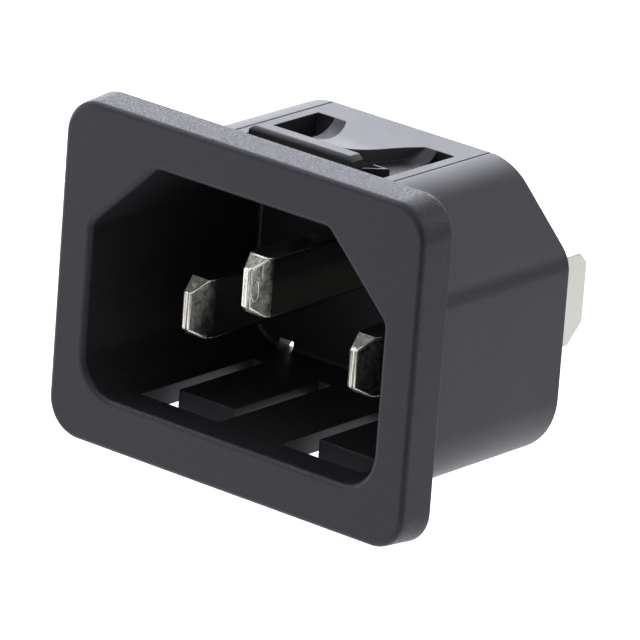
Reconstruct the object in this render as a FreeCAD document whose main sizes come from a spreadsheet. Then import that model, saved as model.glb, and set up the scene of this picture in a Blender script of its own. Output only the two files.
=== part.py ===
import FreeCAD, Part

import os

import Sketcher

# A snap-in mains inlet for a panel: one moulded housing and three blade contacts.
# +X is to the right seen from the front, +Y goes back through the panel and +Z is up.
# The origin is the centre of the panel cut-out, on the rear face of the bezel.

SIZES = {
    # bezel: how far it stands out round the shroud, and its edges
    "bezel_thickness": 2.65,
    "bezel_lip_side": 1.4,
    "bezel_lip_top": 1.81,
    "bezel_lip_bottom": 2.17,
    "bezel_front_inset": 0.17,
    "bezel_corner_radius": 2.5,
    "bezel_edge_radius": 0.4,
    # connector cavity
    "cavity_width": 24.4,
    "cavity_top": 8.13,
    "cavity_bottom": 8.15,
    "cavity_depth": 16.85,
    "cavity_cut_across": 5.05,
    "cavity_cut_down": 4.95,
    "cavity_cut_radius": 0.8,
    "cavity_bottom_radius": 2.6,
    "mouth_radius": 0.4,
    "cavity_end_radius": 0.35,
    # shroud round the cavity
    "side_wall": 1.45,
    "top_wall": 1.5,
    "bottom_wall": 1.4,
    "rear_wall": 1.9,
    "shroud_cut_across": 5.25,
    "shroud_cut_down": 5.3,
    "shroud_top_radius": 4.35,
    "shroud_side_radius": 2.3,
    "shroud_bottom_radius": 4.4,
    "shroud_lead_in": 2.0,
    "parting_line_width": 0.12,
    "parting_line_depth": 0.1,
    # what the three snap latches share
    "leaf_thickness": 0.62,
    "catch_edge": 0.32,
    # snap latch in the top wall
    "top_leaf_width": 8.6,
    "top_slot": 1.4,
    "top_window_length": 11.5,
    "top_ramp_length": 1.8,
    "top_catch_gap": 2.85,
    "top_catch_thickness": 1.15,
    "top_catch_height": 1.25,
    "top_crest_across": 0.35,
    "top_crest_down": 0.3,
    "top_rib_neck": 2.3,
    "top_rib_root": 6.7,
    "top_rib_flare": 6.5,
    "top_rib_flat": 2.25,
    "tooth_width": 1.3,
    "tooth_length": 1.4,
    "tooth_gap": 1.25,
    "tooth_wall": 0.2,
    "tooth_height": 0.65,
    "tooth_overhang": 0.12,
    # the two snap latches in the bottom wall
    "bottom_latch_offset": 5.95,
    "bottom_leaf_width": 4.7,
    "bottom_slot": 1.0,
    "bottom_window_length": 11.1,
    "bottom_ramp_length": 1.2,
    "bottom_catch_gap": 2.6,
    "bottom_catch_thickness": 1.6,
    "bottom_catch_height": 1.1,
    "bottom_crest_across": 0.25,
    "bottom_crest_down": 1.3,
    "bottom_rib_neck": 1.2,
    "bottom_rib_root": 2.8,
    "bottom_rib_flare": 5.0,
    "bottom_rib_flat": 1.5,
    # relief holes through the rear wall, behind the outer slots of the bottom latches
    "relief_offset": 9.12,
    "relief_width": 1.2,
    "relief_height": 0.8,
    "relief_sink": 0.15,
    # contacts
    "pin_pitch": 14.0,
    "pin_drop": 2.08,
    "earth_rise": 1.92,
    "pin_thickness": 2.0,
    "pin_height": 4.0,
    "pin_setback": 3.75,
    "pin_side_bevel": 1.75,
    "pin_end_bevel": 1.3,
    "earth_setback": 1.15,
    "earth_side_bevel": 1.45,
    "earth_end_bevel": 1.1,
    "earth_seam_shift": 0.2,
    "pin_seat_depth": 1.0,
    "tip_width": 0.6,
    "tip_end_drop": 0.75,
    "fold_seam_width": 0.12,
    "fold_seam_depth": 0.16,
    "tab_width": 6.3,
    "tab_thickness": 0.8,
    "tab_reach": 8.2,
    "tab_top_corner": 0.8,
    "tab_bottom_corner": 1.4,
    "tab_hole_radius": 0.825,
    "tab_hole_setback": 4.3,
}


def size(name):
    """The expression for one size in the sheet."""
    return f"Sizes.{name}"


def half(expression):
    return f"(({expression}) / 2)"


def minus(expression):
    return f"(-({expression}))"


def plus(*expressions):
    return "(" + " + ".join(f"({expression})" for expression in expressions) + ")"


def less(expression, *taken):
    return "(" + " - ".join(f"({part})" for part in (expression, *taken)) + ")"


def arc_radius(run, rise):
    """The radius of an arc that leaves along the run and has risen by rise at its end."""
    return f"((({run})^2 + ({rise})^2) / (2 * ({rise})))"


# Lengths that follow from the sizes
CAVITY_HALF = half(size("cavity_width"))
SHROUD_HALF = plus(CAVITY_HALF, size("side_wall"))
SHROUD_TOP = plus(size("cavity_top"), size("top_wall"))
SHROUD_BOTTOM = plus(size("cavity_bottom"), size("bottom_wall"))
CAVITY_END = less(size("cavity_depth"), size("bezel_thickness"))
SHROUD_END = plus(CAVITY_END, size("rear_wall"))
SEAT_END = plus(CAVITY_END, size("pin_seat_depth"))
TOP_BEND = f"atan({size('shroud_cut_down')} / {size('shroud_cut_across')})"
PARTING_LINE = less(
    SHROUD_HALF,
    size("shroud_cut_across"),
    f"{size('shroud_top_radius')} * tan({TOP_BEND} / 2)",
)


def write_sizes(document):
    """Keeps the driving dimensions, in millimetres, in the document's sheet."""
    sheet = document.addObject("Spreadsheet::Sheet", "Sizes")
    for row, (name, value) in enumerate(SIZES.items(), start=1):
        sheet.set(f"A{row}", name.replace("_", " "))
        sheet.set(f"B{row}", str(value))
        sheet.setAlias(f"B{row}", name)
    document.recompute()
    return sheet


def new_body(document, label):
    body = document.addObject("PartDesign::Body", label)
    body.Label = label
    return body


def new_sketch(body, name, plane, offset=None):
    """A sketch on one of the body's origin planes, moved along that plane's normal.

    The XZ plane looks forward, along -Y, the XY plane up and the YZ plane right.
    """
    sketch = body.newObject("Sketcher::SketchObject", name)
    base = next(item for item in body.Origin.OriginFeatures if item.Role == plane)
    sketch.AttachmentSupport = (base, [""])
    sketch.MapMode = "FlatFace"
    if offset is not None:
        sketch.setExpression("AttachmentOffset.Base.z", offset)
    return sketch


def bend_geometry(start, end, radius):
    """The arc between two points, turning left where the radius is positive."""
    chord = end - start
    middle = (start + end) * 0.5
    across = FreeCAD.Vector(-chord.y, chord.x, 0).normalize()
    rise = (radius**2 - (chord.Length / 2) ** 2) ** 0.5
    centre = middle + across * (rise if radius > 0 else -rise)
    circle = Part.Circle(centre, FreeCAD.Vector(0, 0, 1), abs(radius))
    first, last = (start, end) if radius > 0 else (end, start)
    return Part.ArcOfCircle(circle, circle.parameter(first), circle.parameter(last))


def draw_outline(sketch, corners, bends=None):
    """Draws a closed outline whose corners are pairs of expressions.

    bends gives the expression for the radius of the arc that leaves a corner, by the
    corner's number; a leading minus sign turns that arc to the right.
    """
    bends = bends or {}
    value = sketch.evalExpression
    points = [FreeCAD.Vector(value(across), value(up), 0) for across, up in corners]
    prefix = f"outline{sketch.GeometryCount}"
    pieces = []
    for number, start in enumerate(points):
        end = points[(number + 1) % len(points)]
        radius = bends.get(number)
        if radius is None:
            piece = sketch.addGeometry(Part.LineSegment(start, end), False)
            pieces.append((piece, 1, 2))
            continue
        piece = sketch.addGeometry(bend_geometry(start, end, value(radius)), False)
        pieces.append((piece, 1, 2) if value(radius) > 0 else (piece, 2, 1))
        bound = sketch.addConstraint(
            Sketcher.Constraint("Radius", piece, abs(value(radius)))
        )
        sketch.renameConstraint(bound, f"{prefix}_bend{number}")
        sketch.setExpression(f"Constraints.{prefix}_bend{number}", f"abs({radius})")
    for number, (piece, first, _) in enumerate(pieces):
        before, _, last = pieces[number - 1]
        sketch.addConstraint(Sketcher.Constraint("Coincident", before, last, piece, first))
        place_point(sketch, (piece, first), corners[number], f"{prefix}_corner{number}")


def place_point(sketch, point, place, name):
    """Ties a point of the sketch to its expressions across and up."""
    for kind, way, expression in zip(("DistanceX", "DistanceY"), ("across", "up"), place):
        distance = sketch.evalExpression(expression)
        bound = sketch.addConstraint(
            Sketcher.Constraint(kind, -1, 1, *point, distance)
        )
        sketch.renameConstraint(bound, f"{name}_{way}")
        sketch.setExpression(f"Constraints.{name}_{way}", expression)


def draw_rectangle(sketch, low, high):
    (left, bottom), (right, top) = low, high
    draw_outline(sketch, [(left, bottom), (right, bottom), (right, top), (left, top)])


def draw_circle(sketch, centre, radius):
    value = sketch.evalExpression
    middle = FreeCAD.Vector(value(centre[0]), value(centre[1]), 0)
    circle = Part.Circle(middle, FreeCAD.Vector(0, 0, 1), value(radius))
    piece = sketch.addGeometry(circle, False)
    place_point(sketch, (piece, 3), centre, "centre")
    bound = sketch.addConstraint(Sketcher.Constraint("Radius", piece, value(radius)))
    sketch.renameConstraint(bound, "radius")
    sketch.setExpression("Constraints.radius", radius)


def extrude(body, kind, name, sketch, length, reverse=False, both_ways=False):
    """A Pad or Pocket of the sketch; both_ways centres the length on its plane."""
    feature = body.newObject(f"PartDesign::{kind}", name)
    feature.Profile = sketch
    feature.setExpression("Length", length)
    feature.SideType = "Symmetric" if both_ways else "One side"
    feature.Reversed = reverse
    body.Document.recompute()
    return feature


def dress(body, kind, name, amount, wanted):
    """A Fillet or Chamfer on those edges of the body so far that are wanted."""
    base = body.Tip
    edges = [
        f"Edge{number}"
        for number, edge in enumerate(base.Shape.Edges, start=1)
        if wanted(edge)
    ]
    if not edges:
        raise RuntimeError(f"{name} finds no edges on {body.Label}")
    feature = body.newObject(f"PartDesign::{kind}", name)
    feature.Base = (base, edges)
    feature.setExpression("Radius" if kind == "Fillet" else "Size", amount)
    body.Document.recompute()
    return feature


def near(one, other):
    return abs(one - other) < 1e-4


def lies_at(edge, depth):
    """Is the whole edge on the plane at this Y?"""
    box = edge.BoundBox
    return near(box.YMin, depth) and near(box.YMax, depth)


def spans(edge, front, back):
    """Does the edge reach from one Y to the other?"""
    return near(edge.BoundBox.YMin, front) and near(edge.BoundBox.YMax, back)


def runs_between(edge, front, back):
    """Does the edge run straight back from one Y to the other?"""
    straight = near(edge.BoundBox.XLength, 0) and near(edge.BoundBox.ZLength, 0)
    return straight and spans(edge, front, back)


def draw_cut_outline(sketch, half_width, top, bottom, cut_across, cut_down):
    """A rectangle with both top corners cut off: the inlet's keyed outline."""
    right = [
        (half_width, minus(bottom)),
        (half_width, less(top, cut_down)),
        (less(half_width, cut_across), top),
    ]
    left = [(minus(across), up) for across, up in reversed(right)]
    draw_outline(sketch, right + left)


def add_bezel(body):
    """The flange, whose sides lean in towards the front by the mould's draft."""
    value = body.evalExpression
    sketch = new_sketch(body, "BezelOutline", "XZ_Plane")
    width = plus(SHROUD_HALF, size("bezel_lip_side"))
    top = plus(SHROUD_TOP, size("bezel_lip_top"))
    bottom = plus(SHROUD_BOTTOM, size("bezel_lip_bottom"))
    draw_rectangle(sketch, (minus(width), minus(bottom)), (width, top))
    flange = extrude(body, "Pad", "Bezel", sketch, size("bezel_thickness"))
    slope = f"{size('bezel_front_inset')} / {size('bezel_thickness')}"
    flange.setExpression("TaperAngle", minus(f"atan({slope})"))
    body.Document.recompute()
    front = -value(size("bezel_thickness"))
    dress(body, "Fillet", "BezelCorners", size("bezel_corner_radius"),
          lambda edge: spans(edge, front, 0))
    dress(body, "Fillet", "BezelFrontEdge", size("bezel_edge_radius"),
          lambda edge: lies_at(edge, front))


def add_shroud(body):
    value = body.evalExpression
    sketch = new_sketch(body, "ShroudOutline", "XZ_Plane")
    draw_cut_outline(sketch, SHROUD_HALF, SHROUD_TOP, SHROUD_BOTTOM,
                     size("shroud_cut_across"), size("shroud_cut_down"))
    extrude(body, "Pad", "Shroud", sketch, SHROUD_END, reverse=True)
    end, top = value(SHROUD_END), value(SHROUD_TOP)
    long_edge = lambda edge: runs_between(edge, 0, end)
    dress(body, "Fillet", "ShroudBottomCorners", size("shroud_bottom_radius"),
          lambda edge: long_edge(edge) and edge.BoundBox.ZMin < 0)
    dress(body, "Fillet", "ShroudTopCorners", size("shroud_top_radius"),
          lambda edge: long_edge(edge) and near(edge.BoundBox.ZMin, top))
    cut_foot = value(less(SHROUD_TOP, size("shroud_cut_down")))
    dress(body, "Fillet", "ShroudSideCorners", size("shroud_side_radius"),
          lambda edge: long_edge(edge) and near(edge.BoundBox.ZMin, cut_foot))
    dress(body, "Chamfer", "ShroudLeadIn", size("shroud_lead_in"),
          lambda edge: lies_at(edge, end))


def add_cavity(body):
    value = body.evalExpression
    sketch = new_sketch(body, "CavityOutline", "XZ_Plane", size("bezel_thickness"))
    draw_cut_outline(sketch, CAVITY_HALF, size("cavity_top"), size("cavity_bottom"),
                     size("cavity_cut_across"), size("cavity_cut_down"))
    extrude(body, "Pocket", "Cavity", sketch, size("cavity_depth"))
    front, end = -value(size("bezel_thickness")), value(CAVITY_END)
    long_edge = lambda edge: runs_between(edge, front, end)
    dress(body, "Fillet", "CavityBottomCorners", size("cavity_bottom_radius"),
          lambda edge: long_edge(edge) and edge.BoundBox.ZMin < 0)
    dress(body, "Fillet", "CavityCutCorners", size("cavity_cut_radius"), long_edge)
    dress(body, "Fillet", "CavityEnd", size("cavity_end_radius"),
          lambda edge: lies_at(edge, end))
    inside = value(CAVITY_HALF) + 1e-4
    dress(body, "Fillet", "CavityMouth", size("mouth_radius"),
          lambda edge: lies_at(edge, front) and abs(edge.CenterOfMass.x) < inside
          and max(abs(edge.BoundBox.XMin), abs(edge.BoundBox.XMax)) < inside
          and edge.BoundBox.ZMax < value(size("cavity_top")) + 1e-4
          and edge.BoundBox.ZMin > -value(size("cavity_bottom")) - 1e-4)


def add_contact_seats(body):
    """The blades sit in the front of the rear wall, and the tabs pass through behind."""
    places = contact_places().values()
    seats = new_sketch(body, "BladeSeatOutlines", "XZ_Plane", minus(CAVITY_END))
    slots = new_sketch(body, "TabSlotOutlines", "XZ_Plane", minus(SEAT_END))
    shapes = (
        (seats, half(size("pin_thickness")), half(size("pin_height"))),
        (slots, half(size("tab_thickness")), half(size("tab_width"))),
    )
    for sketch, across, up in shapes:
        for x, z, *_ in places:
            draw_rectangle(sketch, (less(x, across), less(z, up)),
                           (plus(x, across), plus(z, up)))
    extrude(body, "Pocket", "BladeSeats", seats, size("pin_seat_depth"))
    extrude(body, "Pocket", "TabSlots", slots, size("rear_wall"))


def add_relief_holes(body):
    """Two small holes through the rear wall, cut from where its fillet starts."""
    start = less(CAVITY_END, size("cavity_end_radius"))
    sketch = new_sketch(body, "ReliefOutlines", "XZ_Plane", minus(start))
    low = minus(plus(size("cavity_bottom"), size("relief_sink")))
    reach = half(size("relief_width"))
    for x in (size("relief_offset"), minus(size("relief_offset"))):
        draw_rectangle(sketch, (less(x, reach), low),
                       (plus(x, reach), plus(low, size("relief_height"))))
    extrude(body, "Pocket", "ReliefHoles", sketch,
            plus(size("rear_wall"), size("cavity_end_radius")))


def add_parting_lines(body):
    """The fine lines that the mould's parting leaves along the top."""
    sketch = new_sketch(body, "PartingLineSection", "XZ_Plane")
    reach = half(size("parting_line_width"))
    for x in (PARTING_LINE, minus(PARTING_LINE)):
        above = plus(SHROUD_TOP, size("parting_line_depth"))
        draw_outline(sketch, [
            (x, less(SHROUD_TOP, size("parting_line_depth"))),
            (plus(x, reach), SHROUD_TOP),
            (plus(x, reach), above),
            (less(x, reach), above),
            (less(x, reach), SHROUD_TOP),
        ])
    extrude(body, "Pocket", "PartingLines", sketch, SHROUD_END)


class Latch:
    """The expressions of one snap latch, which is a leaf cut free in the shroud's wall.

    out is 1 for the top wall and -1 for the bottom wall.
    """

    def __init__(self, title, kind, centre, out):
        self.title, self.centre, self.out = title, centre, out
        self.kind = kind
        outer = SHROUD_TOP if out > 0 else SHROUD_BOTTOM
        inner = size("cavity_top" if out > 0 else "cavity_bottom")
        self.wall = size(f"{kind}_wall")
        self.skin = self.outward(outer)
        self.inside = self.outward(inner)
        self.floor = self.outward(plus(inner, size("leaf_thickness")))
        self.crest = self.outward(plus(outer, self.own("catch_height")))
        self.left = less(centre, half(self.own("leaf_width")))
        self.right = plus(centre, half(self.own("leaf_width")))
        self.front = self.own("catch_gap")
        self.catch_back = plus(self.front, self.own("catch_thickness"))
        self.back = self.own("window_length")

    def own(self, name):
        return size(f"{self.kind}_{name}")

    def outward(self, expression):
        return expression if self.out > 0 else minus(expression)

    def sketch(self, body, name, plane, offset=None):
        return new_sketch(body, self.title + name, plane, offset)

    def add_to(self, body):
        self.cut_free(body)
        self.add_ramp(body)
        self.add_rib(body)
        self.add_catch(body)

    def cut_free(self, body):
        """A slot round three sides of the leaf, and the recess that thins it."""
        outline = self.sketch(body, "SlotOutline", "XY_Plane", self.skin)
        slot = self.own("slot")
        draw_outline(outline, [
            (less(self.left, slot), "0"),
            (plus(self.right, slot), "0"),
            (plus(self.right, slot), self.back),
            (self.right, self.back),
            (self.right, self.front),
            (self.left, self.front),
            (self.left, self.back),
            (less(self.left, slot), self.back),
        ])
        extrude(body, "Pocket", self.title + "Slot", outline, f"2 * {self.wall}",
                reverse=self.out < 0)
        recess = self.sketch(body, "RecessOutline", "XY_Plane", self.skin)
        draw_rectangle(recess, (self.left, self.front), (self.right, self.back))
        extrude(body, "Pocket", self.title + "Recess", recess,
                less(self.wall, size("leaf_thickness")), reverse=self.out < 0)

    def add_ramp(self, body):
        """The wall comes down to the leaf in a hollow curve at the leaf's root."""
        section = self.sketch(body, "RampSection", "YZ_Plane", self.centre)
        length, drop = self.own("ramp_length"), less(self.wall, size("leaf_thickness"))
        radius = arc_radius(length, drop)
        draw_outline(
            section,
            [(less(self.back, length), self.floor), (self.back, self.skin),
             (self.back, self.floor)],
            bends={0: radius if self.out > 0 else minus(radius)},
        )
        extrude(body, "Pad", self.title + "Ramp", section, self.own("leaf_width"),
                both_ways=True)

    def add_rib(self, body):
        """A rib that flares towards the root, under a hollow top that rises to the catch."""
        outline = self.sketch(body, "RibOutline", "XY_Plane", self.floor)
        neck, root = half(self.own("rib_neck")), half(self.own("rib_root"))
        flare = less(self.back, self.own("rib_flare"))
        radius = arc_radius(self.own("rib_flare"), less(root, neck))
        draw_outline(
            outline,
            [(less(self.centre, neck), self.front), (plus(self.centre, neck), self.front),
             (plus(self.centre, neck), flare), (plus(self.centre, root), self.back),
             (less(self.centre, root), self.back), (less(self.centre, neck), flare)],
            bends={2: minus(radius), 4: minus(radius)},
        )
        rise = plus(self.wall, self.own("catch_height"))
        extrude(body, "Pad", self.title + "Rib", outline,
                less(rise, size("leaf_thickness")), reverse=self.out < 0)
        section = self.sketch(body, "RibTopSection", "YZ_Plane", self.centre)
        height = self.own("catch_height")
        hollow = less(self.back, self.own("rib_flat"))
        radius = arc_radius(less(hollow, self.catch_back), height)
        above = self.outward(plus(self.outward(self.crest), height))
        draw_outline(
            section,
            [(self.back, self.skin), (self.back, above), (self.catch_back, above),
             (self.catch_back, self.crest), (hollow, self.skin)],
            bends={3: radius if self.out > 0 else minus(radius)},
        )
        extrude(body, "Pocket", self.title + "RibTop", section, self.own("leaf_width"),
                both_ways=True)

    def add_catch(self, body):
        """The bar whose front face holds behind the panel."""
        section = self.sketch(body, "CatchSection", "XZ_Plane", minus(self.front))
        across, down = self.own("crest_across"), self.own("crest_down")
        shoulder = less(self.crest, self.outward(down))
        draw_outline(section, [
            (self.left, self.inside), (self.right, self.inside),
            (self.right, shoulder), (less(self.right, across), self.crest),
            (plus(self.left, across), self.crest), (self.left, shoulder),
        ])
        extrude(body, "Pad", self.title + "Catch", section,
                self.own("catch_thickness"), reverse=True)
        value = body.evalExpression
        front, crest, centre = value(self.front), value(self.crest), value(self.centre)
        dress(body, "Fillet", self.title + "CatchEdge", size("catch_edge"),
              lambda edge: lies_at(edge, front) and near(edge.BoundBox.ZMin, crest)
              and near(edge.BoundBox.ZMax, crest) and near(edge.CenterOfMass.x, centre))


def add_teeth(body, latch):
    """A small hollow-backed tooth on each side of the top leaf, behind the catch."""
    sketch = latch.sketch(body, "TeethOutlines", "XY_Plane", latch.floor)
    front = plus(latch.catch_back, size("tooth_gap"))
    back = plus(front, size("tooth_length"))
    wall = size("tooth_wall")
    for side in (1, -1):
        edge = plus(half(latch.own("leaf_width")), size("tooth_overhang"))
        heel = less(edge, size("tooth_width"))
        corners = [
            (heel, front), (edge, back), (heel, back), (heel, less(back, wall)),
            (less(edge, f"2.4 * {wall}"), less(back, wall)), (heel, plus(front, wall)),
        ]
        if side < 0:
            corners = [(minus(across), up) for across, up in corners]
        draw_outline(sketch, corners)
    extrude(body, "Pad", "TopTeeth", sketch, size("tooth_height"))


def make_housing(document):
    body = new_body(document, "housing")
    add_bezel(body)
    add_shroud(body)
    add_cavity(body)
    add_contact_seats(body)
    add_relief_holes(body)
    add_parting_lines(body)
    top_latch = Latch("TopLatch", "top", "0", 1)
    top_latch.add_to(body)
    add_teeth(body, top_latch)
    offset = size("bottom_latch_offset")
    Latch("RightLatch", "bottom", offset, -1).add_to(body)
    Latch("LeftLatch", "bottom", minus(offset), -1).add_to(body)
    return body


def contact_places():
    """Each contact's place across and up, its kind, and its seam's place on the tip."""
    reach, low = half(size("pin_pitch")), minus(size("pin_drop"))
    return {
        "line_pin": (minus(reach), low, "pin", "0"),
        "neutral_pin": (reach, low, "pin", "0"),
        "earth_pin": ("0", size("earth_rise"), "earth", size("earth_seam_shift")),
    }


def make_contact(document, label, x, z, kind, seam_place):
    """A blade with a bevelled tip in front of its seat, and a flat tab behind it."""
    body = new_body(document, label)
    body.setExpression(".Placement.Base.x", x)
    body.setExpression(".Placement.Base.y", SEAT_END)
    body.setExpression(".Placement.Base.z", z)
    add_blade(body, label, kind, seam_place)
    add_tab(body, label)
    return body


def add_blade(body, label, kind, seam_place):
    length = less(plus(size("cavity_depth"), size("pin_seat_depth")),
                  size(f"{kind}_setback"))
    across, up = half(size("pin_thickness")), half(size("pin_height"))
    section = new_sketch(body, f"{label}_blade_section", "XZ_Plane")
    draw_rectangle(section, (minus(across), minus(up)), (across, up))
    extrude(body, "Pad", f"{label}_blade", section, length)
    tip = minus(length)
    bevels = (
        ("side_bevels", "XY_Plane", across, half(size("tip_width")),
         size(f"{kind}_side_bevel"), size("pin_height")),
        ("end_bevels", "YZ_Plane", up, less(up, size("tip_end_drop")),
         size(f"{kind}_end_bevel"), size("pin_thickness")),
    )
    for name, plane, outer, inner, depth, width in bevels:
        sketch = new_sketch(body, f"{label}_{name}_outline", plane)
        for side in (1, -1):
            corners = [(inner, tip), (outer, tip), (outer, plus(tip, depth))]
            if side < 0:
                corners = [(minus(off), along) for off, along in corners]
            if plane == "YZ_Plane":
                corners = [(along, off) for off, along in corners]
            draw_outline(sketch, corners)
        extrude(body, "Pocket", f"{label}_{name}", sketch, width, both_ways=True)
    seam = new_sketch(body, f"{label}_seam_outline", "XY_Plane")
    reach = half(size("fold_seam_width"))
    draw_outline(seam, [(less(seam_place, reach), tip), (plus(seam_place, reach), tip),
                        (seam_place, plus(tip, size("fold_seam_depth")))])
    extrude(body, "Pocket", f"{label}_seam", seam, size("pin_height"), both_ways=True)


def add_tab(body, label):
    up = half(size("tab_width"))
    end = plus(less(size("rear_wall"), size("pin_seat_depth")), size("tab_reach"))
    top, bottom = size("tab_top_corner"), size("tab_bottom_corner")
    outline = new_sketch(body, f"{label}_tab_outline", "YZ_Plane")
    draw_outline(outline, [
        ("0", minus(up)), (less(end, bottom), minus(up)), (end, less(bottom, up)),
        (end, less(up, top)), (less(end, top), up), ("0", up),
    ])
    extrude(body, "Pad", f"{label}_tab", outline, size("tab_thickness"), both_ways=True)
    hole = new_sketch(body, f"{label}_hole_outline", "YZ_Plane")
    draw_circle(hole, (less(end, size("tab_hole_setback")), "0"), size("tab_hole_radius"))
    extrude(body, "Pocket", f"{label}_hole", hole, size("tab_thickness"), both_ways=True)


def check(document, bodies):
    """Stops if a feature failed or a sub-part is not one valid solid."""
    document.recompute()
    for item in document.Objects:
        if "Invalid" in item.State or "Error" in item.State:
            raise RuntimeError(f"{item.Label} is {item.State}")
    for body in bodies:
        shape = body.Shape
        if shape.isNull() or not shape.isValid() or len(shape.Solids) != 1:
            raise RuntimeError(f"{body.Label} is not one valid solid")


def main():
    document = FreeCAD.newDocument("PanelInlet")
    write_sizes(document)
    bodies = [make_housing(document)]
    for label, place in contact_places().items():
        bodies.append(make_contact(document, label, *place))
    check(document, bodies)
    os.makedirs("parts", exist_ok=True)
    for body in bodies:
        body.Shape.exportStep(f"parts/{body.Label}.step")
        box = body.Shape.BoundBox
        print(f"{body.Label}: {body.Shape.Volume:.2f} mm3, "
              f"{box.XLength:.2f} x {box.YLength:.2f} x {box.ZLength:.2f} mm")


main()
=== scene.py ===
"""Dresses the panel inlet socket: moulded housing, plated contacts, lamps and camera.

Run it as a script in Blender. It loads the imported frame, registers the operators and
calls them in order.
"""

import math

import bmesh
import bpy
from bpy.props import FloatProperty, FloatVectorProperty, PointerProperty
from mathutils import Matrix, Vector


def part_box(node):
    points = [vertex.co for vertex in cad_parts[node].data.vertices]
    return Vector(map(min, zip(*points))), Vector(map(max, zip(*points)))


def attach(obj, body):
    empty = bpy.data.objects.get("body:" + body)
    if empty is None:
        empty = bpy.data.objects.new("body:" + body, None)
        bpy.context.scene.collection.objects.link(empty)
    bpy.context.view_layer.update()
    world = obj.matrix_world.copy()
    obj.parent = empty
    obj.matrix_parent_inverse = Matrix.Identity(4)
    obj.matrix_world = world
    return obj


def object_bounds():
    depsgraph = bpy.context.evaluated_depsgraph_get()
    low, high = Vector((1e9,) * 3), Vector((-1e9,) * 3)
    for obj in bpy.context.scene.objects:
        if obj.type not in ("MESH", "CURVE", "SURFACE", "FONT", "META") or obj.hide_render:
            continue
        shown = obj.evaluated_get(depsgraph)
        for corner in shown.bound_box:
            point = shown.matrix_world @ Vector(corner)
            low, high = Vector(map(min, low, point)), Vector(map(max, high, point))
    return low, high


bl_info = {
    "name": "Panel Inlet Socket",
    "version": (1, 0, 0),
    "blender": (4, 5, 0),
    "location": "3D Viewport > Sidebar > Inlet",
    "description": "Dresses a snap-in panel inlet socket and lights it for a product view",
    "category": "Object",
}

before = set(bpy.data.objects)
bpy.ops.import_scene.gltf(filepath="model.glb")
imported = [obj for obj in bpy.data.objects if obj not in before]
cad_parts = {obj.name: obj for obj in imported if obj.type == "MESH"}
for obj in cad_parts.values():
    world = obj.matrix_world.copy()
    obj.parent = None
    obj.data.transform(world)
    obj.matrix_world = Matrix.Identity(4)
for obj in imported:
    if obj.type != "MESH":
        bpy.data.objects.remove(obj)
CAD_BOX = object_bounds()
MM = 0.001
CONTACTS = ("line_pin", "neutral_pin", "earth_pin")

# Places along the inlet, measured back from the bezel's rear face
BEZEL_TO_SHROUD = (-0.1 * MM, 0.1 * MM)
BLADE_TO_TAB = (13 * MM, 15 * MM)

# The plastic's grain and clouds
COARSE_GRAIN = 0.4           # coarse grains in the width of one fine grain
COARSE_SHARE = 0.15          # share of the coarse grain in the two together
GRAIN_DOTS = (0.38, 0.62)    # where a hollow ends, and where a grain's top starts
GRAIN_STRENGTH = (1.0, 0.8)  # on the bezel, and on the shroud
GRAIN_TINT = (0.85, 1.15)    # shares of the plastic's colour, in a hollow and on a grain
CLOUDS = 180.0               # cloudy patches of the shroud's skin in a metre
CLOUD_SPREAD = 0.05          # how far they change the roughness

# The contacts' scores and dents
SCORES = (4200, 4200, 700)   # in a metre along each axis: they run up and down
DENTS = 3000.0               # in a metre
DENT_SHARE = 0.65            # share of the dents in the two together
DENT_SPREAD = 0.08           # how far they change the roughness
STRUCK = (0.18, 0.8)         # strength of both on a front facet, and on a sheared top
WORN_PATCHES = (0.38, 0.66)  # where a dull patch ends, and where a bright one starts

# How far a face leans, 0 to 1, where a mask starts and where it is whole
FORWARD_FACE = (0.1, 0.3)
FORWARD_EDGE = (0.02, 0.06)
UPWARD_FACE = (0.3, 0.6)

# Brightness of the contacts, from 0 for the dull end of a tint to 1 for its bright end; the
# rear tabs and their edges get painted shade, darkened where they mirror the bright floor
BLADE_SHADE = 0.95
TAB_EDGE_PAINTED_SHADE = 0.4
PLATING_TINT = (0.5, 1.0)    # shares of the plating's colour
EDGE_TINT = (0.2, 1.0)       # shares of the edges' colour; the bright end on the tip's forward edges is wear and a painted highlight

# The modifiers that join the imported faces and break their edges
WELD_REACH = 0.0005 * MM
FLAT_ANGLE = math.radians(0.5)
SHARP_ANGLE = math.radians(34)
HOUSING_SEGMENTS = 2
CONTACT_SEGMENTS = 3

# The ring coined on the right front facet of the earth contact
RING_ACROSS = 0.487 * MM    # to the right of the middle
RING_BEHIND_TIP = 0.387 * MM
RING_BELOW_MIDDLE = 0.117 * MM
RING_ALONG = (0.435, 0.901, 0)
RING_REACH = (0.26 * MM, 0.72 * MM)
RING_THICKNESS = 0.045 * MM
RING_HEIGHT = 0.5           # of the ring's thickness
RING_TURNS = 40             # faces round the oval
RING_SIDES = 8              # faces round the ring's own section

# The stage, in metres: each lamp's place and size
LAMPS = (
    ("back_lamp", (-0.42, 0.5, 0.28), (0.7, 0.56)),
    ("key_lamp", (-0.36, -0.1, 0.46), (0.4, 0.4)),
    ("left_lamp", (-0.25, -0.08, 0.0), (0.2, 0.1)),
    ("right_lamp", (0.17, 0.21, 0.15), (0.16, 0.12)),
)
FLOOR_REACH = 4.0
FLOOR_SHADE = 0.86
FLOOR_GLOW = 0.35
SENSOR_WIDTH = 36           # in millimetres


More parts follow.
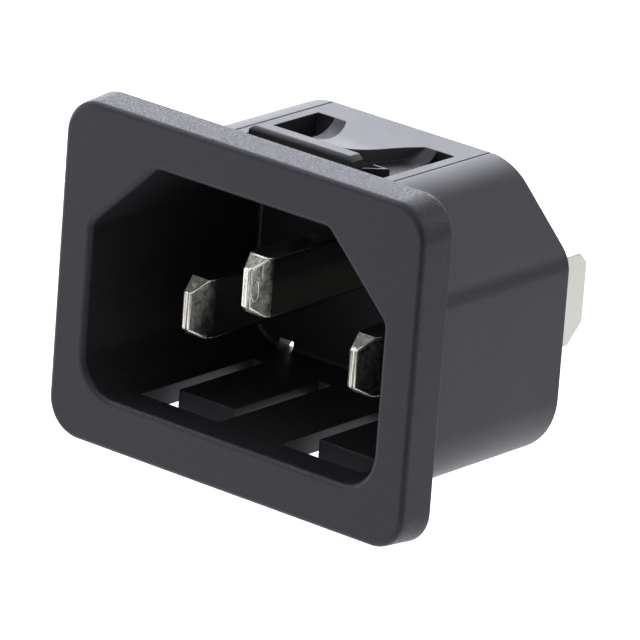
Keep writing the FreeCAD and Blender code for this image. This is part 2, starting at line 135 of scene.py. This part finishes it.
class HousingSettings(bpy.types.PropertyGroup):
    """The moulded housing's finish."""

    colour: FloatVectorProperty(
        name="Plastic colour", description="Colour of the black moulded plastic",
        subtype="COLOR", size=3, min=0, max=1, default=(0.0118, 0.0118, 0.0130))
    ior: FloatProperty(
        name="Refraction", description="Index of refraction of the plastic's skin",
        min=1, max=2, default=1.40)
    bezel_roughness: FloatProperty(
        name="Bezel roughness", description="Roughness of the spark-eroded bezel",
        subtype="FACTOR", min=0.05, max=1, default=0.44)
    shroud_roughness: FloatProperty(
        name="Shroud roughness", description="Roughness of the smoother shroud",
        subtype="FACTOR", min=0.05, max=1, default=0.40)
    tint: FloatVectorProperty(
        name="Sheen tint", description="Colour of what the plastic's skin reflects",
        subtype="COLOR", size=3, min=0, max=1, default=(0.88, 0.89, 1.0))
    speckle: FloatProperty(
        name="Speckle", description="How far the bezel's roughness varies from grain to grain",
        subtype="FACTOR", min=0, max=0.4, default=0.135)
    grain: FloatProperty(
        name="Grain size", description="Width of one grain of the spark-eroded bezel",
        subtype="DISTANCE", unit="LENGTH", min=0.02 * MM, max=1 * MM, default=0.08 * MM)
    grain_depth: FloatProperty(
        name="Grain depth", description="Height of the grain above the surface",
        subtype="DISTANCE", unit="LENGTH", min=0, max=0.1 * MM, default=0.026 * MM)
    edge: FloatProperty(
        name="Edge break", description="Width of the break on each moulded edge",
        subtype="DISTANCE", unit="LENGTH", min=0, max=0.3 * MM, default=0.05 * MM)


class ContactSettings(bpy.types.PropertyGroup):
    """The plated contacts' finish."""

    colour: FloatVectorProperty(
        name="Plating colour", description="Colour of the nickel plating",
        subtype="COLOR", size=3, min=0, max=1, default=(0.77, 0.76, 0.70))
    # The edge colour is worn plating with a painted highlight on the tip's forward edges
    edge_colour: FloatVectorProperty(
        name="Edge colour", description="Colour of the rubbed edges",
        subtype="COLOR", size=3, min=0, max=1, default=(0.80, 0.77, 0.69))
    edge_roughness: FloatProperty(
        name="Edge roughness", description="Roughness of the rubbed edges",
        subtype="FACTOR", min=0.02, max=1, default=0.26)
    # Painted shade: the rear tabs' plating is darkened to this share where they mirror the
    # bright floor
    tab_painted_shade: FloatProperty(
        name="Tab shade", description="How bright the dull rear tabs are, up to 1",
        subtype="FACTOR", min=0, max=1, default=0.16)
    blade_roughness: FloatProperty(
        name="Blade roughness", description="Roughness of the upper faces of the blades",
        subtype="FACTOR", min=0.02, max=1, default=0.14)
    flank_roughness: FloatProperty(
        name="Flank roughness", description="Roughness of the strip's upright rolled faces",
        subtype="FACTOR", min=0.02, max=1, default=0.20)
    tip_roughness: FloatProperty(
        name="Tip roughness", description="Roughness of the coined faces of the tip",
        subtype="FACTOR", min=0.02, max=1, default=0.30)
    sheared_roughness: FloatProperty(
        name="Sheared roughness", description="Roughness of the tip's sheared top and bottom",
        subtype="FACTOR", min=0.02, max=1, default=0.75)
    tip_wear: FloatProperty(
        name="Tip wear", description="Depth of the scores and dents on the tip",
        subtype="DISTANCE", unit="LENGTH", min=0, max=0.5 * MM, default=0.3 * MM)
    edge: FloatProperty(
        name="Edge break", description="Width of the rounding on each edge of a contact",
        subtype="DISTANCE", unit="LENGTH", min=0, max=0.3 * MM, default=0.13 * MM)


class StageSettings(bpy.types.PropertyGroup):
    """The floor, the lamps and the camera."""

    azimuth: FloatProperty(
        name="Azimuth", description="Angle of the camera round the inlet from its front",
        subtype="ANGLE", unit="ROTATION", default=math.radians(38.84))
    elevation: FloatProperty(
        name="Elevation", description="Angle of the camera above the horizon",
        subtype="ANGLE", unit="ROTATION", default=math.radians(18.92))
    roll: FloatProperty(
        name="Roll", description="Turn of the camera about its own axis",
        subtype="ANGLE", unit="ROTATION", default=math.radians(4.37))
    distance: FloatProperty(
        name="Distance", description="From the camera to the point that it looks at",
        subtype="DISTANCE", unit="LENGTH", min=0.1, max=5, default=0.50875)
    lens: FloatProperty(
        name="Lens", description="Focal length of the camera in millimetres",
        unit="CAMERA", min=50, max=1000, default=450.8)
    aim: FloatVectorProperty(
        name="Aim", description="Point looked at, across and up in the camera's own plane",
        subtype="TRANSLATION", unit="LENGTH", size=2, default=(3.88 * MM, -0.49 * MM))
    floor_drop: FloatProperty(
        name="Floor drop", description="From the lowest point of the inlet to the floor",
        subtype="DISTANCE", unit="LENGTH", min=0, max=1, default=45 * MM)
    surround: FloatProperty(
        name="Surround", description="Strength of the even light from all sides",
        min=0, max=2, default=0.75)
    back_lamp: FloatProperty(
        name="Back lamp", description="Power of the lamp behind, in watts",
        min=0, max=50, default=4.2)
    key_lamp: FloatProperty(
        name="Key lamp", description="Power of the lamp overhead, in watts",
        min=0, max=50, default=1.2)
    left_lamp: FloatProperty(
        name="Left lamp", description="Power of the lamp on the left, in watts",
        min=0, max=50, default=0.10)
    right_lamp: FloatProperty(
        name="Right lamp", description="Power of the lamp behind on the right, in watts",
        min=0, max=50, default=0.12)
    lamp_colour: FloatVectorProperty(
        name="Lamp colour", description="Colour of the lamps",
        subtype="COLOR", size=3, min=0, max=1, default=(0.88, 0.90, 1.0))
    card_azimuths: FloatVectorProperty(
        name="Card azimuths", description="Angles of the two dark cards round from the front",
        subtype="NONE", unit="ROTATION", size=2, default=(math.radians(42), math.radians(141)))
    card_distances: FloatVectorProperty(
        name="Card distances", description="From the inlet to each dark card",
        subtype="NONE", unit="LENGTH", size=2, min=0.05, max=1, default=(0.12, 0.15))
    card_widths: FloatVectorProperty(
        name="Card widths", description="Width of each dark card",
        subtype="NONE", unit="LENGTH", size=2, min=0, max=1, default=(0.11, 0.14))
    card_feet: FloatVectorProperty(
        name="Card feet", description="Height of each dark card's lower edge",
        subtype="NONE", unit="LENGTH", size=2, min=-0.1, max=1, default=(-56 * MM, -32 * MM))
    card_heads: FloatVectorProperty(
        name="Card heads", description="Height of each dark card's upper edge",
        subtype="NONE", unit="LENGTH", size=2, min=-0.1, max=1, default=(70 * MM, 40 * MM))
    card_shades: FloatVectorProperty(
        name="Card shades", description="How pale each dark card is",
        subtype="NONE", size=2, min=0, max=1, default=(0.05, 0.62))


def new_material(name):
    """A named material, with its nodes, its links and its shader."""
    material = bpy.data.materials.new(name)
    material.use_nodes = True
    nodes = material.node_tree.nodes
    return material, nodes, material.node_tree.links, nodes["Principled BSDF"]


def add_node(nodes, kind, **values):
    """A node with its properties set, or its inputs where the name isn't a property."""
    node = nodes.new(kind)
    for name, value in values.items():
        if hasattr(node, name):
            setattr(node, name, value)
        else:
            node.inputs[name.replace("_", " ").title()].default_value = value
    return node


def blend_values(nodes, links, factor, low, high):
    """Goes from low to high with the factor; each may be a number or a socket."""
    mix = add_node(nodes, "ShaderNodeMix", data_type="FLOAT")
    for name, value in (("Factor", factor), ("A", low), ("B", high)):
        if isinstance(value, bpy.types.NodeSocket):
            links.new(value, mix.inputs[name])
        else:
            mix.inputs[name].default_value = value
    return mix.outputs["Result"]


def noise(nodes, links, place, scale, detail, distortion=0.0):
    """A noise pattern over the given place; the scale may differ along each axis."""
    spread = nodes.new("ShaderNodeMapping")
    spread.inputs["Scale"].default_value = scale if isinstance(scale, tuple) else [scale] * 3
    links.new(place, spread.inputs["Vector"])
    pattern = add_node(nodes, "ShaderNodeTexNoise", Scale=1.0, Detail=detail,
                       Distortion=distortion)
    links.new(spread.outputs["Vector"], pattern.inputs["Vector"])
    return pattern.outputs["Fac"]


def step_between(nodes, links, value, low, high):
    """0 below low, 1 above high and a smooth step between them."""
    step = add_node(nodes, "ShaderNodeMapRange", interpolation_type="SMOOTHSTEP")
    step.inputs["From Min"].default_value = low
    step.inputs["From Max"].default_value = high
    links.new(value, step.inputs["Value"])
    return step.outputs["Result"]


def raise_skin(nodes, links, shader, height, depth, strength):
    """Bumps the shader's surface by a height pattern, as strongly as the socket says."""
    bump = nodes.new("ShaderNodeBump")
    bump.inputs["Distance"].default_value = depth
    links.new(strength, bump.inputs["Strength"])
    links.new(height, bump.inputs["Height"])
    links.new(bump.outputs["Normal"], shader.inputs["Normal"])


def tint_colour(nodes, links, shader, pattern, colour, dark, light):
    """Varies the base colour with a pattern, from dark to light times the colour."""
    tint = add_node(nodes, "ShaderNodeMix", data_type="RGBA")
    tint.inputs["A"].default_value = (*(Vector(colour) * dark), 1)
    tint.inputs["B"].default_value = (*(Vector(colour) * light), 1)
    links.new(pattern, tint.inputs["Factor"])
    links.new(tint.outputs["Result"], shader.inputs["Base Color"])


def moulded_plastic(settings):
    """Black thermoplastic: spark-eroded grain on the bezel, a smoother skin behind it."""
    material, nodes, links, shader = new_material("moulded_plastic")
    place = nodes.new("ShaderNodeTexCoord").outputs["Object"]
    split = nodes.new("ShaderNodeSeparateXYZ")
    links.new(place, split.inputs[0])
    behind = step_between(nodes, links, split.outputs["Y"], *BEZEL_TO_SHROUD)
    fine = noise(nodes, links, place, 1 / settings.grain, detail=2.0)
    coarse = noise(nodes, links, place, COARSE_GRAIN / settings.grain, detail=1.0)
    cloud = noise(nodes, links, place, CLOUDS, detail=3.0)
    grain = blend_values(nodes, links, COARSE_SHARE, fine, coarse)
    raise_skin(nodes, links, shader, grain, settings.grain_depth,
               blend_values(nodes, links, behind, *GRAIN_STRENGTH))
    dots = step_between(nodes, links, grain, *GRAIN_DOTS)
    speckled = blend_values(nodes, links, dots, settings.bezel_roughness - settings.speckle,
                            settings.bezel_roughness + settings.speckle)
    clouded = blend_values(nodes, links, cloud, settings.shroud_roughness - CLOUD_SPREAD,
                           settings.shroud_roughness + CLOUD_SPREAD)
    links.new(blend_values(nodes, links, behind, speckled, clouded), shader.inputs["Roughness"])
    tint_colour(nodes, links, shader, fine, settings.colour, *GRAIN_TINT)
    shader.inputs["IOR"].default_value = settings.ior
    shader.inputs["Specular Tint"].default_value = (*settings.tint, 1)
    return material


def facing_parts(nodes, links):
    """The parts of the direction that each face points in."""
    facing = nodes.new("ShaderNodeSeparateXYZ")
    links.new(nodes.new("ShaderNodeNewGeometry").outputs["True Normal"], facing.inputs[0])
    return facing


def tip_mask(nodes, links, slope=FORWARD_FACE):
    """1 on the coined faces of a contact's tip, which lean forward, and 0 on its blade."""
    least, most = slope
    return step_between(nodes, links, facing_parts(nodes, links).outputs["Y"], -least, -most)


def outside_mask(nodes, links):
    """1 on the rear tabs, behind the housing, and 0 inside it."""
    place = nodes.new("ShaderNodeSeparateXYZ")
    links.new(nodes.new("ShaderNodeTexCoord").outputs["Object"], place.inputs[0])
    return step_between(nodes, links, place.outputs["Y"], *BLADE_TO_TAB)


def plated_strip(settings):
    """Nickel-plated brass: smooth along the blade, scored and dented where it is coined."""
    material, nodes, links, shader = new_material("plated_strip")
    place = nodes.new("ShaderNodeTexCoord").outputs["Object"]
    facing = facing_parts(nodes, links)
    tip = tip_mask(nodes, links)
    scored = noise(nodes, links, place, SCORES, detail=3.0, distortion=1.0)
    dented = noise(nodes, links, place, DENTS, detail=4.0, distortion=0.6)
    worn = blend_values(nodes, links, DENT_SHARE, scored, dented)
    upward = step_between(nodes, links, facing.outputs["Z"], *UPWARD_FACE)
    struck = blend_values(nodes, links, upward, *STRUCK)
    raise_skin(nodes, links, shader, worn, settings.tip_wear,
               blend_values(nodes, links, tip, 0.0, struck))
    facet = blend_values(nodes, links, dented, settings.tip_roughness - DENT_SPREAD,
                         settings.tip_roughness + DENT_SPREAD)
    coined = blend_values(nodes, links, upward, facet, settings.sheared_roughness)
    blade_skin = blend_values(nodes, links, upward, settings.flank_roughness,
                              settings.blade_roughness)
    links.new(blend_values(nodes, links, tip, blade_skin, coined), shader.inputs["Roughness"])
    patches = step_between(nodes, links, worn, *WORN_PATCHES)
    # Painted shade on the rear tabs: behind the housing the plating's colour is darkened to the
    # tab shade
    blade = blend_values(nodes, links, outside_mask(nodes, links), BLADE_SHADE,
                         settings.tab_painted_shade)
    bright = blend_values(nodes, links, tip, blade, patches)
    tint_colour(nodes, links, shader, bright, settings.colour, *PLATING_TINT)
    shader.inputs["Metallic"].default_value = 1.0
    return material


def rubbed_edge(settings):
    """The bright line on the tip's forward edges, partly wear from handling and tumbling and
    partly a painted highlight; the other edges inside stay at the dull end of the tint.
    """
    material, nodes, links, shader = new_material("rubbed_edge")
    # The rear tabs' edges get painted shade too
    edge_highlight_and_tab_shade = blend_values(nodes, links, outside_mask(nodes, links),
                           tip_mask(nodes, links, FORWARD_EDGE), TAB_EDGE_PAINTED_SHADE)
    tint_colour(nodes, links, shader, edge_highlight_and_tab_shade, settings.edge_colour, *EDGE_TINT)
    shader.inputs["Roughness"].default_value = settings.edge_roughness
    shader.inputs["Metallic"].default_value = 1.0
    return material


def dress_node(name, materials, edge, segments):
    """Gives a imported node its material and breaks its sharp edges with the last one."""
    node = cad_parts[name]
    node.data.materials.clear()
    for material in materials:
        node.data.materials.append(material)
    weld = node.modifiers.new("join_faces", "WELD")
    weld.merge_threshold = WELD_REACH
    flats = node.modifiers.new("join_flats", "DECIMATE")
    flats.decimate_type = "DISSOLVE"
    flats.angle_limit = FLAT_ANGLE
    bevel = node.modifiers.new("edge_break", "BEVEL")
    bevel.limit_method = "ANGLE"
    bevel.angle_limit = SHARP_ANGLE
    bevel.width = edge
    bevel.segments = segments
    bevel.material = len(materials) - 1
    bevel.use_clamp_overlap = False
    bevel.miter_outer = "MITER_ARC"
    shade = node.modifiers.new("even_shading", "WEIGHTED_NORMAL")
    shade.keep_sharp = False
    shade.weight = 100
    return node


def oval_ring(name, centre, across, up, reach, thickness):
    """A low oval ring on a flat face: reach is half its size along across and up."""
    outward = across.cross(up)
    mesh = bpy.data.meshes.new(name)
    form = bmesh.new()
    rings = []
    for turn in range(RING_TURNS):
        angle = math.tau * turn / RING_TURNS
        spoke = across * math.cos(angle) * reach[0] + up * math.sin(angle) * reach[1]
        run = across * -math.sin(angle) * reach[0] + up * math.cos(angle) * reach[1]
        aside = run.cross(outward).normalized()
        rings.append([
            form.verts.new(centre + spoke + thickness * (
                aside * math.cos(math.tau * side / RING_SIDES)
                + outward * RING_HEIGHT * math.sin(math.tau * side / RING_SIDES)))
            for side in range(RING_SIDES)])
    for turn in range(RING_TURNS):
        here, there = rings[turn], rings[(turn + 1) % RING_TURNS]
        for side in range(RING_SIDES):
            beyond = (side + 1) % RING_SIDES
            form.faces.new((here[side], there[side], there[beyond], here[beyond]))
    bmesh.ops.recalc_face_normals(form, faces=form.faces)
    form.to_mesh(mesh)
    form.free()
    mesh.shade_smooth()
    ring = bpy.data.objects.new(name, mesh)
    bpy.context.collection.objects.link(ring)
    return ring


class INLET_OT_housing(bpy.types.Operator):
    """Give the housing its moulded grain and broken edges"""

    bl_idname = "inlet.housing"
    bl_label = "Dress the Housing"

    def execute(self, context):
        settings = context.scene.inlet_housing
        dress_node("housing", [moulded_plastic(settings)], settings.edge, HOUSING_SEGMENTS)
        return {"FINISHED"}


class INLET_OT_contacts(bpy.types.Operator):
    """Give the three contacts their plating and worn edges"""

    bl_idname = "inlet.contacts"
    bl_label = "Dress the Contacts"

    def execute(self, context):
        settings = context.scene.inlet_contacts
        # The edge material is worn plating with a painted highlight on the tip's forward edges
        plating, rubbed = plated_strip(settings), rubbed_edge(settings)
        for name in CONTACTS:
            dress_node(name, [plating, rubbed], settings.edge, CONTACT_SEGMENTS)
        low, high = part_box("earth_pin")
        centre = Vector((RING_ACROSS, low.y + RING_BEHIND_TIP,
                         (low.z + high.z) / 2 - RING_BELOW_MIDDLE))
        ring = oval_ring("coined_ring", centre, Vector(RING_ALONG).normalized(),
                         Vector((0, 0, 1)), RING_REACH, RING_THICKNESS)
        # The coined ring takes the edge material, so its forward faces carry the same painted
        # highlight
        ring.data.materials.append(rubbed)
        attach(ring, "root")
        return {"FINISHED"}


def camera_axes(settings):
    """The camera's right, up and back directions."""
    turn, rise = settings.azimuth, settings.elevation
    back = Vector((math.sin(turn) * math.cos(rise), -math.cos(turn) * math.cos(rise),
                   math.sin(rise)))
    right = (-back).cross(Vector((0, 0, 1))).normalized()
    up = right.cross(-back)
    roll = Matrix.Rotation(settings.roll, 3, back)
    return roll @ right, roll @ up, back


def add_camera(settings):
    """A long lens that looks at a point near the middle of the inlet."""
    right, up, back = camera_axes(settings)
    aim = settings.aim[0] * right + settings.aim[1] * up
    data = bpy.data.cameras.new("camera")
    data.sensor_width = SENSOR_WIDTH
    data.lens = settings.lens
    data.clip_start, data.clip_end = 0.05, 20
    camera = bpy.data.objects.new("camera", data)
    turned = Matrix((right, up, back)).transposed().to_4x4()
    camera.matrix_world = Matrix.Translation(aim + settings.distance * back) @ turned
    bpy.context.collection.objects.link(camera)
    bpy.context.scene.camera = camera


def add_floor(settings):
    """A wide, level floor some way below the inlet."""
    mesh = bpy.data.meshes.new("floor")
    level = CAD_BOX[0].z - settings.floor_drop
    corners = [(x * FLOOR_REACH, y * FLOOR_REACH, level)
               for x, y in ((-1, -1), (1, -1), (1, 1), (-1, 1))]
    mesh.from_pydata(corners, [], [(0, 1, 2, 3)])
    floor = bpy.data.objects.new("floor", mesh)
    bpy.context.collection.objects.link(floor)
    mesh.materials.append(pale_floor())


def seen_by(nodes, links):
    """1 for what the camera, a reflection or a clear part sees, and 0 otherwise."""
    path = nodes.new("ShaderNodeLightPath")
    total = path.outputs["Is Camera Ray"]
    for name in ("Is Glossy Ray", "Is Transmission Ray"):
        either = add_node(nodes, "ShaderNodeMath", operation="MAXIMUM")
        links.new(total, either.inputs[0])
        links.new(path.outputs[name], either.inputs[1])
        total = either.outputs["Value"]
    return total


def pale_floor():
    """A pale floor that shows white and keeps the shadow that falls on it."""
    material, nodes, links, shader = new_material("pale_floor")
    shader.inputs["Base Color"].default_value = (FLOOR_SHADE, FLOOR_SHADE, FLOOR_SHADE, 1)
    shader.inputs["Roughness"].default_value = 0.9
    shader.inputs["Emission Color"].default_value = (1, 1, 1, 1)
    lift = add_node(nodes, "ShaderNodeMath", operation="MULTIPLY")
    lift.inputs[1].default_value = FLOOR_GLOW
    links.new(seen_by(nodes, links), lift.inputs[0])
    links.new(lift.outputs["Value"], shader.inputs["Emission Strength"])
    return material


def add_surround(settings):
    """White where it is seen, and a softer even light on everything else."""
    world = bpy.data.worlds.new("surround")
    world.use_nodes = True
    nodes, links = world.node_tree.nodes, world.node_tree.links
    background = nodes["Background"]
    background.inputs["Color"].default_value = (1, 1, 1, 1)
    level = nodes.new("ShaderNodeMapRange")
    level.inputs["To Min"].default_value = settings.surround
    level.inputs["To Max"].default_value = 1.0
    links.new(seen_by(nodes, links), level.inputs["Value"])
    links.new(level.outputs["Result"], background.inputs["Strength"])
    bpy.context.scene.world = world


def add_cards(settings):
    """Dark cards round the inlet, which only its glossy skin mirrors."""
    for index, turn in enumerate(settings.card_azimuths):
        material, _, _, shader = new_material("dark_card")
        shade = settings.card_shades[index]
        shader.inputs["Base Color"].default_value = (shade, shade, shade, 1)
        shader.inputs["Roughness"].default_value = 1.0
        out = Vector((math.sin(turn), -math.cos(turn), 0)) * settings.card_distances[index]
        along = Vector((math.cos(turn), math.sin(turn), 0)) * settings.card_widths[index] / 2
        foot = Vector((0, 0, settings.card_feet[index]))
        head = Vector((0, 0, settings.card_heads[index]))
        mesh = bpy.data.meshes.new("dark_card")
        corners = [out - along + foot, out + along + foot, out + along + head,
                   out - along + head]
        mesh.from_pydata(corners, [], [(0, 1, 2, 3)])
        mesh.materials.append(material)
        card = bpy.data.objects.new(f"dark_card_{index + 1}", mesh)
        bpy.context.collection.objects.link(card)
        card.visible_camera = card.visible_diffuse = card.visible_shadow = False


def add_lamp(name, place, size, power, colour):
    """A rectangular lamp that shines at the middle of the panel cut-out."""
    data = bpy.data.lights.new(name, "AREA")
    data.color = colour
    data.shape = "RECTANGLE"
    data.size, data.size_y = size
    data.energy = power
    lamp = bpy.data.objects.new(name, data)
    lamp.location = place
    lamp.rotation_euler = (-Vector(place)).to_track_quat("-Z", "Y").to_euler()
    bpy.context.collection.objects.link(lamp)


class INLET_OT_stage(bpy.types.Operator):
    """Set up the floor, the lamps and the camera"""

    bl_idname = "inlet.stage"
    bl_label = "Set Up the Stage"

    def execute(self, context):
        settings = context.scene.inlet_stage
        add_camera(settings)
        add_floor(settings)
        add_surround(settings)
        add_cards(settings)
        for name, place, size in LAMPS:
            add_lamp(name, place, size, getattr(settings, name), settings.lamp_colour)
        context.scene.view_settings.view_transform = "Standard"
        return {"FINISHED"}


class INLET_PT_panel(bpy.types.Panel):
    """The inlet's operators and settings"""

    bl_idname = "INLET_PT_panel"
    bl_label = "Panel Inlet"
    bl_space_type = "VIEW_3D"
    bl_region_type = "UI"
    bl_category = "Inlet"

    def draw(self, context):
        layout = self.layout
        for operator, name, settings in PIECES:
            column = layout.column(align=True)
            column.operator(operator.bl_idname)
            group = getattr(context.scene, name)
            for prop in settings.__annotations__:
                column.prop(group, prop)


PIECES = (
    (INLET_OT_housing, "inlet_housing", HousingSettings),
    (INLET_OT_contacts, "inlet_contacts", ContactSettings),
    (INLET_OT_stage, "inlet_stage", StageSettings),
)


def register():
    for operator, name, settings in PIECES:
        bpy.utils.register_class(settings)
        setattr(bpy.types.Scene, name, PointerProperty(type=settings))
        bpy.utils.register_class(operator)
    bpy.utils.register_class(INLET_PT_panel)


def unregister():
    bpy.utils.unregister_class(INLET_PT_panel)
    for operator, name, settings in reversed(PIECES):
        bpy.utils.unregister_class(operator)
        delattr(bpy.types.Scene, name)
        bpy.utils.unregister_class(settings)


def main():
    register()
    bpy.ops.inlet.housing()
    bpy.ops.inlet.contacts()
    bpy.ops.inlet.stage()


if __name__ == "__main__":
    main()
